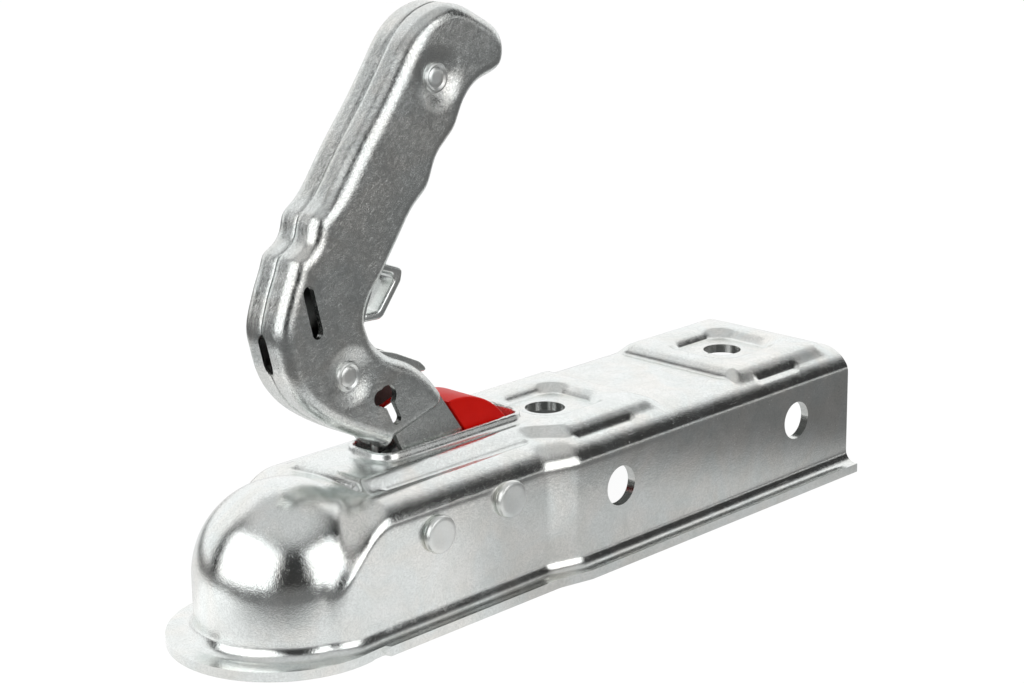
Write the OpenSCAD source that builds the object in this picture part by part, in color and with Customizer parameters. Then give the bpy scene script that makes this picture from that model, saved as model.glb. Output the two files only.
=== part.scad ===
// Trailer coupling head with a raised handle.
// Origin at the centre of the tow ball, +X towards the trailer, +Z up, -Y the left side of travel.

/* [Ball and drawbar] */
// Diameter of the tow ball
ball_d = 50; // [46:0.5:54]
// Play between the ball and the dome
ball_play = 0.2; // [0.1:0.05:0.5]
// Width of the square drawbar that the channel takes
bar_w = 60; // [58:0.5:64]

/* [Pressed housing] */
// Thickness of the housing sheet
sheet = 3; // [2.5:0.1:3.5]
// Outside width of the front body, between the dome and the joggle
front_w = 59.2; // [57:0.1:62]
// Height of the roof above the ball centre, outside
roof_h = 24.4; // [24:0.1:26]
// Depth of the flange's underside below the ball centre
flange_depth = 19.3; // [18.5:0.1:21]
// Distance from the ball centre to the end of the channel
channel_end = 229.5; // [220:0.5:250]
// Distance from the ball centre to the start of the joggle in the side walls
joggle_start = 79.5; // [78:0.5:84]
// Length of the joggle
joggle_len = 12; // [9:0.5:13]
// Outside radius of the bend between roof and side walls
bend_r = 12.5; // [12:0.5:14]
// Width of the bend, from the flat roof to the side wall
bend_run = 11; // [9:0.5:11.5]
// Outside radius of the flare between side walls and flange
flare = 4; // [3:0.5:5]
// Overall width of the flange beside the dome and the front body
front_flange_w = 71; // [70:0.5:74]
// Overall width of the flange beside the drawbar
flange_w = 76; // [75:0.5:80]
// Radius of the round flange under the dome
nose_flange_r = 34.4; // [34:0.2:37]
// Distance from the ball's centre at which the straight flange starts
flange_start = 7.5; // [6:0.5:9.5]
// Slope of the front body's shoulder down to the dome
shoulder_angle = 45; // [40:1:50]

/* [Roof pressings] */
// Height of the raised plateaus above the roof
plateau_rise = 2.8; // [2:0.1:3]
// Start of the front plateau from the ball centre
plateau_start = 14.5; // [13:0.5:18]
// Width of the front plateau's top beside the handle opening
plateau_w = 28; // [26:0.2:32]
// Width of the plateaus' top over the drawbar
wide_plateau_w = 42; // [38:0.2:46]
// Run of the slope between a plateau's top and its foot at the sides
plateau_slope = 5.6; // [4:0.2:6]
// Length of the bare label recess between the plateaus
label_len = 39; // [34:0.5:44]
// Corner radius of the plateaus
plateau_corner = 6; // [4:0.5:8]
// Width of the recessed seats round the upper bolt holes
seat_w = 28; // [24:0.5:32]
// Length of the recessed seats behind and before the bolt
seat_len = 30; // [26:0.5:33]

/* [Bolt holes] */
// Diameter of the four through holes for M12 bolts
bolt_d = 13; // [12.5:0.1:14]
// Distance between the bolt holes along the drawbar
bolt_pitch = 90; // [86:0.5:94]
// Distance from the end of the joggle to the first bolt
bolt_setback = 19; // [17:0.5:22]
// Height of the side holes above the ball centre
side_bolt_h = 5.5; // [2:0.5:8]

/* [Handle opening] */
// Length of the opening in the roof
slot_len = 58.4; // [57:0.2:60]
// Play of the handle's foot in the opening of the roof, on each side
slot_play = 0.7; // [0.5:0.05:0.9]
// Corner radius of the opening
slot_corner = 4.5; // [3:0.5:7]
// Height of the drawn collar round the opening above the plateau
collar_rise = 2.6; // [1.5:0.1:3]
// Wall of the drawn collar
collar_wall = 1.5; // [1.2:0.1:2]

/* [Cross pins] */
// Diameter of the jaw pin and the handle pin
pin_d = 10; // [9:0.1:10.4]
// Running clearance on the radius of the pins
pin_play = 0.05; // [0.02:0.01:0.1]
// Diameter of the riveted pin heads
head_d = 11.8; // [11:0.1:13]
// Height of the riveted pin heads
head_h = 2.4; // [1.5:0.1:3]
// Distance of the jaw pin behind the ball centre
jaw_pin_x = 33; // [32.5:0.1:34]
// Height of the jaw pin above the ball centre
jaw_pin_z = 10; // [9.5:0.1:10.5]
// Distance of the handle pin behind the jaw pin
pin_pitch = 30; // [29.8:0.1:31]
// Height of the handle pin above the jaw pin
pin_step = 3; // [2.6:0.1:3.2]

/* [Jaw] */
// Width of the clamping jaw
jaw_w = 26; // [20:0.5:30]
// Turn of the jaw from clamped to open
jaw_turn = 16; // [15:0.5:17]
// Thickness of the jaw round its pin
jaw_hub_wall = 3.5; // [3:0.1:3.8]

/* [Handle] */
// Width of the handle over both shells
handle_w = 18.8; // [18:0.1:21]
// Thickness of the handle sheet
shell = 2; // [1.6:0.1:2]
// Rounding of the shells' edges
shell_round = 4; // [3:0.1:4]
// Step from the handle's side in to its foot, where it enters the housing
foot_step = 1.8; // [1.6:0.1:2.1]
// Depth of the grip, from its back to the finger side
grip_depth = 30.2; // [28:0.2:33]
// Length of the grip's straight back
grip_len = 72; // [66:1:90]
// Slope of the grip
grip_angle = 52; // [50:0.5:54]
// Distance between the finger ridges
finger_pitch = 20; // [18:0.5:22]
// Depth of the finger recesses
finger_depth = 1.5; // [0.5:0.1:2.5]
// Travel of the handle from raised to clamped
handle_travel = 50; // [45:1:55]
// Diameter of the handle's rivets
rivet_d = 5; // [4:0.1:6]
// Diameter of the rivet heads
rivet_head_d = 8.8; // [8:0.1:10]
// Depth of the dimples round the rivets
dimple = 2; // [1:0.1:2.4]

/* [Inner parts] */
// Wire of the jaw spring
jaw_wire = 2.2; // [1.8:0.1:2.4]
// Wire of the two closing springs
closing_wire = 2.4; // [1.8:0.1:2.4]
// Turns of each closing spring
closing_turns = 4; // [3:1:5]
// Wire of the catch spring
catch_wire = 1; // [0.8:0.1:1.2]
// Turns of the catch spring
catch_turns = 4; // [3:1:4]
// Outer radius of the wear indicator about the handle pin
indicator_r = 27; // [25:0.1:27.2]
// Sheet of the safety catch
catch_sheet = 2; // [1.6:0.1:2.2]
// Clear gap between pieces that pass each other
gap = 0.3; // [0.2:0.05:0.4]

/* [Hidden] */
eps = 0.01;
big = 400;
$fn = 48;

zinc = "#c3c6c8";
dark_zinc = "#8f9396";
spring_steel = "#6f7376";
signal_red = "#e0180c";

// Dome
dome_in = ball_d / 2 + ball_play;
dome_out = dome_in + sheet;
floor_z = -flange_depth;
wall_start = -6;
nose_flange_x = -2.8;
shoulder_x = 11;

// Side walls
front_hw = front_w / 2;
rear_hw = bar_w / 2 + sheet;
joggle_end = joggle_start + joggle_len;
flange_hw = flange_w / 2;
front_flange_hw = front_flange_w / 2;

// Bolts and the seats of the upper ones
bolt_x = joggle_end + bolt_setback;
seat_r = 8;
front_seat_x = bolt_x + 2;
rear_seat_x = bolt_x + bolt_pitch - 1;

// Roof
plateau_z = roof_h + plateau_rise;
collar_z = plateau_z + collar_rise;
end_slope = 2.6;
label_start = bolt_x + 25.5;
label_end = label_start + label_len;
wide_plateau_start = joggle_end - 8;
wide_plateau_end = label_start - end_slope;
rear_plateau_start = label_end + end_slope;
rear_plateau_end = channel_end - 7.1;

// Cross pins
pin_r = pin_d / 2;
hole_r = pin_r + pin_play;
jaw_pin_at = [jaw_pin_x, 0, jaw_pin_z];
handle_pin_at = [jaw_pin_x + pin_pitch, 0, jaw_pin_z + pin_step];
px = handle_pin_at[0];
pz = handle_pin_at[2];
jaw_hub_r = pin_r + jaw_hub_wall;
jaw_spacer_r = pin_r + 1.8;
spring_bay = jaw_wire * 2.6 + gap;
sleeve_r = pin_r + 0.5;
// The sleeves round the handle pin end where the inner face of the bend begins to close in
sleeve_end = front_hw - sheet - 4 * gap;

// Handle opening
slot_end = px + indicator_r + 2.5 * gap;
slot_start = slot_end - slot_len;

// Handle
handle_hw = handle_w / 2;
foot_hw = handle_hw - foot_step;
inner_hw = foot_hw - shell - gap / 2;
slot_hw = foot_hw + slot_play;
heel = [-48.5, 96.4];
along = [cos(grip_angle), sin(grip_angle)];
across = [sin(grip_angle), -cos(grip_angle)];
lower_rivet_at = [-44, 44.1];
upper_rivet_at = heel + along * (grip_len - 22) + across * 14.7;
sink_hw = handle_hw - dimple;
spacer_hw = sink_hw - shell;
spacer_d = rivet_d + 3;
hub_r = pin_r + 5.5;
dowel_r = 3;
dowel_at = [-12, 6];
roll_r = 2;
roll_at = [-1, 14];
// Rear edge of the foot, from its top down to its toe
foot_top = [-7.3, 31.6];
foot_toe = [17.5, -4.8];
foot_slope = 90 + atan2(foot_toe[1] - foot_top[1], foot_toe[0] - foot_top[0]);
foot_rear = foot_top * [cos(foot_slope), sin(foot_slope)];
indicator_hw = slot_hw - 0.5;
indicator_low = 25;

// Point on the grip: distance along its back and depth from it, with a corner radius
function grip(u, v, r) = [heel[0] + along[0] * u + across[0] * v, heel[1] + along[1] * u + across[1] * v, r];
function unit(v) = v / norm(v);

// Points of an arc round c from the angle a0 to a1
function arc(c, r, a0, a1) =
    let (steps = max(2, ceil(abs(a1 - a0) / 15)))
    [for (i = [0:steps]) c + r * [cos(a0 + (a1 - a0) * i / steps), sin(a0 + (a1 - a0) * i / steps)]];

// Arc that rounds the corner b between the points a and c with the radius r
function corner(a, b, c, r) =
    let (
        m = [b[0], b[1]],
        u = unit([a[0], a[1]] - m),
        w = unit([c[0], c[1]] - m),
        half = acos(u * w) / 2,
        reach = r / tan(half),
        mid = m + unit(u + w) * r / sin(half),
        s = m + u * reach - mid,
        e = m + w * reach - mid,
        from = atan2(s[1], s[0]),
        turn = atan2(s[0] * e[1] - s[1] * e[0], s * e)
    )
    arc(mid, r, from, from + turn);

// Closed outline through corner points [x, y, radius]
function rounded(p) =
    [for (i = [0:len(p) - 1]) each corner(p[(i + len(p) - 1) % len(p)], p[i], p[(i + 1) % len(p)], p[i][2])];

// Outline of the handle in its own plane, measured from the handle pin
ridge = grip_depth + 0.6;
dip = grip_depth - finger_depth;
upper_ridge = grip_len - 29.3;
lower_ridge = upper_ridge - finger_pitch;
handle_outline = rounded([
    [-28.5, 20.2, 1.5], [-70, 40, 28], [-68.5, 64, 30], [-62.2, 80.8, 2.5], [-55.1, 85.6, 2.5],
    [-54, 92.6, 2], [heel[0], heel[1], 4],
    grip(grip_len, 0, 16), grip(grip_len + 4.4, grip_depth + 14.4, 7), grip(grip_len - 14.7, grip_depth - 0.3, 5),
    grip(upper_ridge + 2.4, dip + 0.4, 9), grip(upper_ridge, ridge - 0.2, 1),
    grip(upper_ridge - 6.3, dip, 8), grip(lower_ridge + 4.8, dip, 8), grip(lower_ridge, ridge, 1),
    grip(lower_ridge - 4.5, grip_depth, 4), grip(-29, grip_depth, 12),
    [-11, 38.8, 10], [-5.7, 30, 1.5]]);

// Outline of the foot that goes down to the handle pin
foot_outline = rounded([[-26, 20, 2], [-27, 24, 1], [foot_top[0], foot_top[1], 1],
                        [foot_toe[0], foot_toe[1], 11], [-6, -15, 11]]);

// Opening in the finger side, through which the catch comes out
catch_window = [[-31, 78], [-22, 76], [-29, 62], [-26, 52], [-6, 45.5], [-3, 32], [-14, 33.5], [-34, 45],
                [-42, 58], [-39, 68]];
// Opening along the foot's underside
foot_window = [[-26, 30], [-30.5, 22.5], [-24, 15], [0, 27], [-2, 36], [-12, 34]];

// Outline of the jaw when it is clamped, seen from the side
jaw_outline = rounded([
    [dome_in - 2, jaw_pin_z - 2, 1], [jaw_pin_x - jaw_hub_r, jaw_pin_z + jaw_hub_r, jaw_hub_r - 0.5],
    [jaw_pin_x + jaw_hub_r, jaw_pin_z + jaw_hub_r, jaw_hub_r - 0.5],
    [jaw_pin_x + jaw_hub_r, jaw_pin_z - 4, 5], [jaw_pin_x + 3, floor_z + 11, 5],
    [jaw_pin_x - 2.5, floor_z + 1.3, 2], [dome_in * 0.69, floor_z + 1.3, 0.4]]);

// Cam nose of the lever, swung back from its clamped place by the handle's travel
nose_reach = 21;
nose_r = 4.5;
nose_angle = 212 + handle_travel;

// Outline of the safety catch from the side, measured from the handle pin
catch_arm = rounded([
    [-50, 40, 3], [-50, 49, 4], [-40, 57, 6], [-33.5, 74, 2], [-28, 72.5, 1.5], [-33, 62, 3], [-35.5, 54, 3],
    [-30, 48.5, 3], [-22, 45.8, 6], [-12.5, 41.2, 4], [-8.4, 37.2, 1.2], [-16, 38.6, 2], [-38, 38.6, 6]]);
catch_tab = rounded([
    [-31, 73.4, 0.8], [-26.3, 74.4, 3], [-18.3, 71.2, 2.2], [-19.2, 67.4, 3], [-27.2, 57.4, 3.5], [-34.5, 57.8, 1],
    [-34, 60.2, 0.8], [-28.6, 60.1, 1.6], [-22, 68.3, 1.6], [-22.6, 70.3, 1.2], [-26.6, 71.8, 1.4], [-30.6, 70.8, 0.8]]);

// Sweep of a round wire along points
function ring(p, i) =
    let (
        n = len(p),
        t = unit(p[min(i + 1, n - 1)] - p[max(i - 1, 0)]),
        side = abs(t[1]) < 0.9 ? [0, 1, 0] : [1, 0, 0],
        a = unit(cross(side, t))
    )
    [a, cross(t, a)];
module wire(p, d, sides = 8) {
    n = len(p);
    rings = [for (i = [0:n - 1]) let (f = ring(p, i)) [for (k = [0:sides - 1])
        p[i] + d / 2 * (cos(360 * k / sides) * f[0] + sin(360 * k / sides) * f[1])]];
    polyhedron(
        points = [for (r = rings) each r],
        faces = concat(
            [[for (k = [sides - 1:-1:0]) k]],
            [for (i = [0:n - 2]) for (k = [0:sides - 1]) let (m = (k + 1) % sides)
                [i * sides + k, i * sides + m, (i + 1) * sides + m, (i + 1) * sides + k]],
            [[for (k = [0:sides - 1]) (n - 1) * sides + k]]),
        convexity = 8);
}

// Coil round the Y axis from the angle a0, measured from +X towards +Z
function coil(r, y0, lead, a0, turns, step = 30) =
    [for (i = [0:turns * 360 / step]) [r * cos(a0 + i * step), y0 + lead * i * step / 360, r * sin(a0 + i * step)]];

// Solid of a flat outline in the X-Z plane, between two places across the coupling
module across_y(y0, y1) {
    translate([0, y1, 0]) rotate([90, 0, 0]) linear_extrude(height = y1 - y0) children();
}
module pin_y(r, y0, y1) {
    translate([0, y1, 0]) rotate([90, 0, 0]) cylinder(r = r, h = y1 - y0);
}
module both_sides() {
    children();
    mirror([0, 1, 0]) children();
}
module both_sides_2d() {
    children();
    mirror([0, 1]) children();
}
module at_handle_pin() {
    translate(handle_pin_at) children();
}
module rounded_box(x0, x1, hw, r, z0, z1) {
    translate([0, 0, z0]) linear_extrude(height = z1 - z0) union() {
        translate([x0 + r, -hw]) square([x1 - x0 - 2 * r, 2 * hw]);
        translate([x0, -hw + r]) square([x1 - x0, 2 * (hw - r)]);
        for (x = [x0 + r, x1 - r], y = [-hw + r, hw - r]) translate([x, y]) circle(r);
    }
}

// Half of the channel's cross-section, grown inwards by the offset d, down to the level z0
module half_section(hw, d, z0) {
    r = bend_r - d;
    w = hw - d;
    f = flare + d;
    base = floor_z + sheet - d;
    polygon(concat(
        [[-hw, z0], [-hw, roof_h - d]],
        arc([hw - bend_run, roof_h - bend_r], r, 90, acos((bend_run - d) / r)),
        arc([w + f, base + f], f, 180, 270),
        [[w + f, z0]]));
}
module along_x(x0, x1) {
    translate([x0, 0, 0]) rotate([90, 0, 90]) linear_extrude(height = x1 - x0) children();
}
// Body of the channel under the surface that lies d inside the outer one
module channel(d, z0, x0, x1) {
    both_sides() intersection() {
        union() {
            along_x(x0, joggle_start + 3) half_section(front_hw, d, z0);
            intersection() {
                along_x(joggle_start - 3, joggle_end + 3) half_section(rear_hw, d, z0);
                translate([joggle_start, front_hw, 0]) rotate(atan2(rear_hw - front_hw, joggle_len))
                    translate([0, -front_hw, 0]) along_x(-6, joggle_len + 8) half_section(front_hw, d, z0);
            }
            along_x(joggle_end + 3, x1) half_section(rear_hw, d, z0);
        }
        translate([-big, 0, -big]) cube(2 * big);
    }
}
// Everything ahead of the sloping shoulder, moved back by d
module ahead_of_shoulder(d) {
    translate([shoulder_x, 0, roof_h]) rotate([0, -shoulder_angle, 0]) translate([-big, -big / 2, d * -1])
        cube([2 * big, big, big]);
}
module dome(r, f, z0, z1) {
    rotate(180) rotate_extrude() {
        intersection() {
            circle(r);
            square(r);
        }
        translate([0, z0]) square([r, -z0]);
        difference() {
            translate([r - 1, z0]) square([f + 1, z1 + f - z0]);
            translate([r + f, z1 + f]) circle(f);
        }
    }
}
// Raised plateau whose top runs from x0 to x1, under the surface that lies d inside the outer one
module plateau(x0, x1, hw, d) {
    run = plateau_slope - d / 2;
    hull() {
        rounded_box(x0 + d / 2, x1 - d / 2, hw - d / 2, plateau_corner - 1, plateau_z - d - 0.1, plateau_z - d);
        rounded_box(x0 + d / 2 - end_slope, x1 - d / 2 + end_slope, hw + run - d / 2, plateau_corner, roof_h - d - 1,
                    roof_h - d - 0.2);
    }
}
// Seat of an upper bolt round x, spread by d
module seat(x, d, z0, z1) {
    rounded_box(x - seat_len / 2 - d, x + seat_len / 2 + d, seat_w / 2 + d, seat_r + d, z0, z1);
}

module housing() {
    inset = sheet * 0.8;
    color(zinc) difference() {
        union() {
            dome(dome_out, flare, floor_z, floor_z + sheet);
            difference() {
                channel(0, floor_z, wall_start, channel_end);
                ahead_of_shoulder(0);
            }
            // Flange
            difference() {
                union() {
                    translate([nose_flange_x, 0, floor_z]) cylinder(r = nose_flange_r, h = sheet);
                    translate([0, 0, floor_z]) linear_extrude(height = sheet) both_sides_2d() polygon([
                        [flange_start, 0], [channel_end, 0], [channel_end, flange_hw], [joggle_end, flange_hw],
                        [joggle_start, front_flange_hw], [flange_start, front_flange_hw]]);
                }
                translate([0, 0, floor_z - 1]) cylinder(r = dome_in, h = sheet + 2);
            }
            // Raised plateaus
            plateau(plateau_start, joggle_end, plateau_w / 2, 0);
            plateau(wide_plateau_start, wide_plateau_end, wide_plateau_w / 2, 0);
            plateau(rear_plateau_start, rear_plateau_end, wide_plateau_w / 2, 0);
            // Collar
            rounded_box(slot_start - collar_wall, slot_end + collar_wall, slot_hw + collar_wall,
                        slot_corner + collar_wall, roof_h - 1, collar_z);
        }
        // Hollow of the dome and of the channel
        dome(dome_in, flare + sheet, floor_z - 1, floor_z);
        difference() {
            channel(sheet, floor_z - 1, wall_start + sheet, channel_end + 1);
            ahead_of_shoulder(sheet);
        }
        // Hollows under the plateaus, less the seats of the upper bolts
        difference() {
            union() {
                plateau(plateau_start, joggle_end, plateau_w / 2, sheet);
                plateau(wide_plateau_start, wide_plateau_end, wide_plateau_w / 2, sheet);
                plateau(rear_plateau_start, rear_plateau_end, wide_plateau_w / 2, sheet);
            }
            seat(front_seat_x, inset, roof_h - sheet, plateau_z);
            seat(rear_seat_x, inset, roof_h - sheet, plateau_z);
        }
        // Seats of the upper bolts
        seat(front_seat_x, 0, roof_h, plateau_z + 1);
        seat(rear_seat_x, 0, roof_h, plateau_z + 1);
        // Handle opening
        rounded_box(slot_start, slot_end, slot_hw, slot_corner, roof_h - sheet - 2, collar_z + 1);
        // Bolt holes through the roof and through both side walls
        for (x = [bolt_x, bolt_x + bolt_pitch]) {
            translate([x, 0, roof_h - 2 * sheet]) cylinder(d = bolt_d, h = 4 * sheet);
            translate([x, 0, side_bolt_h]) pin_y(bolt_d / 2, -rear_hw - 1, rear_hw + 1);
        }
        // Pin holes
        translate(jaw_pin_at) pin_y(hole_r, -front_hw - 1, front_hw + 1);
        translate(handle_pin_at) pin_y(hole_r, -front_hw - 1, front_hw + 1);
    }
}

module cross_pin() {
    profile = [[0, 0], [pin_r, 0], [pin_r, front_hw + eps], [head_d / 2 - 0.4, front_hw + eps],
               [head_d / 2, front_hw + 0.6], [head_d / 2, front_hw + head_h - 0.7],
               [head_d / 2 - 0.7, front_hw + head_h], [0, front_hw + head_h]];
    both_sides() rotate([-90, 0, 0]) rotate_extrude() polygon(profile);
}
module jaw_pin() {
    color(dark_zinc) translate(jaw_pin_at) cross_pin();
}
module handle_pin() {
    color(dark_zinc) translate(handle_pin_at) cross_pin();
}

module jaw() {
    color(dark_zinc) translate(jaw_pin_at) rotate([0, -jaw_turn, 0]) translate(-jaw_pin_at) difference() {
        across_y(-jaw_w / 2, jaw_w / 2) polygon(jaw_outline);
        sphere(dome_in);
        translate(jaw_pin_at) {
            pin_y(hole_r, -jaw_w, jaw_w);
            pin_y(pin_r + jaw_wire + 2 * gap, -spring_bay / 2, spring_bay / 2);
            translate([-jaw_hub_r - 3, -spring_bay / 2, 0]) cube([2 * jaw_hub_r + 6, spring_bay, jaw_hub_r + 3]);
        }
    }
}
module sleeve(inner_r, outer_r, y0, y1) {
    difference() {
        pin_y(outer_r, y0, y1);
        pin_y(inner_r, y0 - 1, y1 + 1);
    }
}
module jaw_spacers() {
    color(dark_zinc) translate(jaw_pin_at) both_sides()
        sleeve(hole_r, jaw_spacer_r, jaw_w / 2 + gap, front_hw - sheet);
}
module jaw_spring() {
    r = pin_r + gap + jaw_wire / 2;
    turn = coil(r, -jaw_wire * 0.75, jaw_wire * 1.05, 180, 1.5);
    leg = [[r, jaw_wire * 0.8, 2], [r - 0.3, jaw_wire * 0.7, 5], [r - 1.5, jaw_wire * 0.45, 8.5],
           [r - 3.1, jaw_wire * 0.15, 12], [r - 3.5, 0, 15], [r - 3.5, 0, collar_z + 2.6 - jaw_pin_z]];
    color(spring_steel) translate(jaw_pin_at) wire(concat(turn, leg), jaw_wire);
}
module handle_spacers() {
    color(dark_zinc) at_handle_pin() both_sides()
        sleeve(hole_r, sleeve_r, foot_hw + gap, sleeve_end);
}
module closing_springs() {
    w = closing_wire;
    r = sleeve_r + 0.15 + w / 2;
    y0 = foot_hw + 2 * gap + w / 2;
    foot_x = -20.2 + w / 2 - gap;
    coils = coil(r, y0, w * 1.04, 90, closing_turns + 0.5);
    y1 = coils[len(coils) - 1][1];
    roof_leg = [[-16, y0, r], [-8, y0, r], [-3, y0, r]];
    back_leg = [[-3, y1, -r], [-9, y1, -r + 0.4], [-15, y1, -r + 3], [-18, y1, -2.5], [foot_x, y1, 0.5],
                [foot_x, y1 - 1, 3], [foot_x, y1 - 3, 4], [foot_x, foot_hw - 1, 4]];
    color(spring_steel) at_handle_pin() both_sides() wire(concat(roof_leg, coils, back_leg), w);
}

// Body inside one handle shell's outer surface, or d under it
module pan(d) {
    minkowski() {
        across_y(shell_round - handle_hw, handle_hw - shell_round)
            offset(delta = -shell_round) polygon(handle_outline);
        sphere(r = shell_round - d, $fn = 14);
    }
}
module key_shape(r) {
    translate([-30, 34.9]) circle(r);
    translate([-30, 34.9]) rotate(-63.7) translate([0, -r * 0.55]) square([9.5, r * 1.1]);
}
module side_slot(r) {
    translate([-57.4, 66.2]) rotate(12) union() {
        translate([-r, -6.4]) square([2 * r, 12.8]);
        for (v = [-6.4, 6.4]) translate([0, v]) circle(r);
    }
}
module handle_shell() {
    at_handle_pin() difference() {
        union() {
            difference() {
                pan(0);
                pan(shell);
                across_y(-inner_hw, inner_hw) polygon(foot_window);
                across_y(-inner_hw - 0.6, inner_hw + 0.6) polygon(catch_window);
            }
            across_y(-foot_hw, shell - foot_hw) polygon(foot_outline);
            // Inner side of the dimples
            for (p = [lower_rivet_at, upper_rivet_at]) translate([p[0], 0, p[1]])
                translate([0, -spacer_hw, 0]) rotate([90, 0, 0])
                    cylinder(r1 = rivet_head_d / 2 + 1.6, r2 = rivet_head_d / 2 + 1.6 + dimple + shell / 2,
                             h = dimple + shell / 2);
        }
        translate([-big / 2, -gap / 6, -big / 2]) cube([big, big, big]);
        // Outer side of the dimples, and the rivet holes
        for (p = [lower_rivet_at, upper_rivet_at]) translate([p[0], 0, p[1]]) {
            translate([0, -sink_hw, 0]) rotate([90, 0, 0])
                cylinder(r1 = rivet_head_d / 2 + 0.8, r2 = rivet_head_d / 2 + 0.8 + dimple, h = dimple + eps);
            pin_y(rivet_d / 2 + pin_play, -handle_w, 0);
        }
        pin_y(hole_r, -handle_w, 0);
        translate([dowel_at[0], 0, dowel_at[1]]) pin_y(dowel_r, -handle_w, 0);
        translate([roll_at[0], 0, roll_at[1]]) pin_y(roll_r, -handle_w, 0);
        // Keyhole, slanted side slot and slot in the back seam
        across_y(-handle_w, -spacer_hw) union() {
            key_shape(2.6);
            side_slot(1.7);
        }
        translate([-72, -1.5, 48]) cube([8, 3, 12]);
    }
}
module handle_left() {
    color(zinc) handle_shell();
}
module handle_right() {
    color(zinc) mirror([0, 1, 0]) handle_shell();
}
module cam_lever() {
    nose = nose_reach * [cos(nose_angle), sin(nose_angle)];
    color(dark_zinc) at_handle_pin() difference() {
        across_y(-inner_hw, inner_hw) union() {
            hull() {
                circle(hub_r);
                translate(nose) circle(nose_r);
            }
            hull() {
                circle(hub_r);
                translate(dowel_at) circle(dowel_r + 3);
            }
        }
        pin_y(hole_r, -handle_w, handle_w);
        translate([dowel_at[0], 0, dowel_at[1]]) pin_y(dowel_r, -handle_w, handle_w);
    }
}
module lever_dowel() {
    color(dark_zinc) at_handle_pin() translate([dowel_at[0], 0, dowel_at[1]]) pin_y(dowel_r, -foot_hw, foot_hw);
}
module wear_indicator() {
    hw = indicator_hw;
    color(signal_red) at_handle_pin() difference() {
        union() {
            intersection() {
                pin_y(indicator_r, -hw, hw);
                rotate([0, 90 - foot_slope, 0]) translate([-big / 2, -hw, foot_rear + gap]) cube([big, 2 * hw, big]);
                rotate([0, -indicator_low, 0]) translate([0, -hw, 0]) cube([big, 2 * hw, big]);
            }
            // Tongue between the foot's sides
            across_y(-inner_hw, inner_hw)
                polygon(rounded([[-4, 11.5, 0.8], [-6, 19, 2], [-2, 25, 2], [14, 16, 1], [10.5, 10.5, 1]]));
        }
        pin_y(hub_r + gap, -handle_w, handle_w);
        translate([roll_at[0], 0, roll_at[1]]) pin_y(roll_r, -handle_w, handle_w);
    }
}
module indicator_pin() {
    color(dark_zinc) at_handle_pin() translate([roll_at[0], 0, roll_at[1]]) pin_y(roll_r, -foot_hw, foot_hw);
}
module safety_catch() {
    hw = spacer_hw - gap / 2;
    color(zinc) at_handle_pin() difference() {
        union() {
            across_y(-hw, hw) polygon(catch_tab);
            difference() {
                across_y(-hw, hw) polygon(catch_arm);
                across_y(catch_sheet - hw, hw - catch_sheet) difference() {
                    translate([-60, 30]) square([80, 60]);
                    translate([-36.2, 60]) square([20, 40]);
                    translate([-16, 30]) square([20, 20]);
                }
            }
        }
        translate([lower_rivet_at[0], 0, lower_rivet_at[1]]) pin_y(spacer_d / 2 + pin_play, -handle_w, handle_w);
    }
}
module catch_spring() {
    w = catch_wire;
    r = spacer_d / 2 + gap + w / 2;
    y0 = -w * (catch_turns + 0.5) / 2 * 1.05;
    coils = coil(r, y0, w * 1.05, 90, catch_turns + 0.5, 24);
    y1 = coils[len(coils) - 1][1];
    leg_a = [[-14, y0, r + 1.5], [-6, y0, r + 0.3]];
    leg_b = [[4, y1, -r], [10, y1, -r + 0.6]];
    color(spring_steel) at_handle_pin() translate([lower_rivet_at[0], 0, lower_rivet_at[1]])
        wire(concat(leg_a, coils, leg_b), w, 8);
}
module rivet(p) {
    profile = [[0, 0], [rivet_d / 2, 0], [rivet_d / 2, sink_hw], [rivet_head_d / 2, sink_hw],
               [rivet_head_d / 2, sink_hw + 0.7], [rivet_head_d / 2 - 0.4, sink_hw + 1.1], [0, sink_hw + 1.1]];
    color(dark_zinc) at_handle_pin() translate([p[0], 0, p[1]]) both_sides()
        rotate([-90, 0, 0]) rotate_extrude() polygon(profile);
}
module rivet_spacer(p) {
    color(dark_zinc) at_handle_pin() translate([p[0], 0, p[1]])
        sleeve(rivet_d / 2 + pin_play, spacer_d / 2, -spacer_hw, spacer_hw);
}
module upper_rivet() {
    rivet(upper_rivet_at);
}
module lower_rivet() {
    rivet(lower_rivet_at);
}
module upper_spacer() {
    rivet_spacer(upper_rivet_at);
}
module lower_spacer() {
    rivet_spacer(lower_rivet_at);
}

housing();
jaw_pin();
handle_pin();
jaw();
jaw_spacers();
jaw_spring();
handle_spacers();
closing_springs();
handle_left();
handle_right();
cam_lever();
lever_dowel();
wear_indicator();
indicator_pin();
safety_catch();
catch_spring();
upper_rivet();
lower_rivet();
upper_spacer();
lower_spacer();
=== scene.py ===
import math

import bmesh
import bpy
import numpy as np
from mathutils import Matrix


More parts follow.
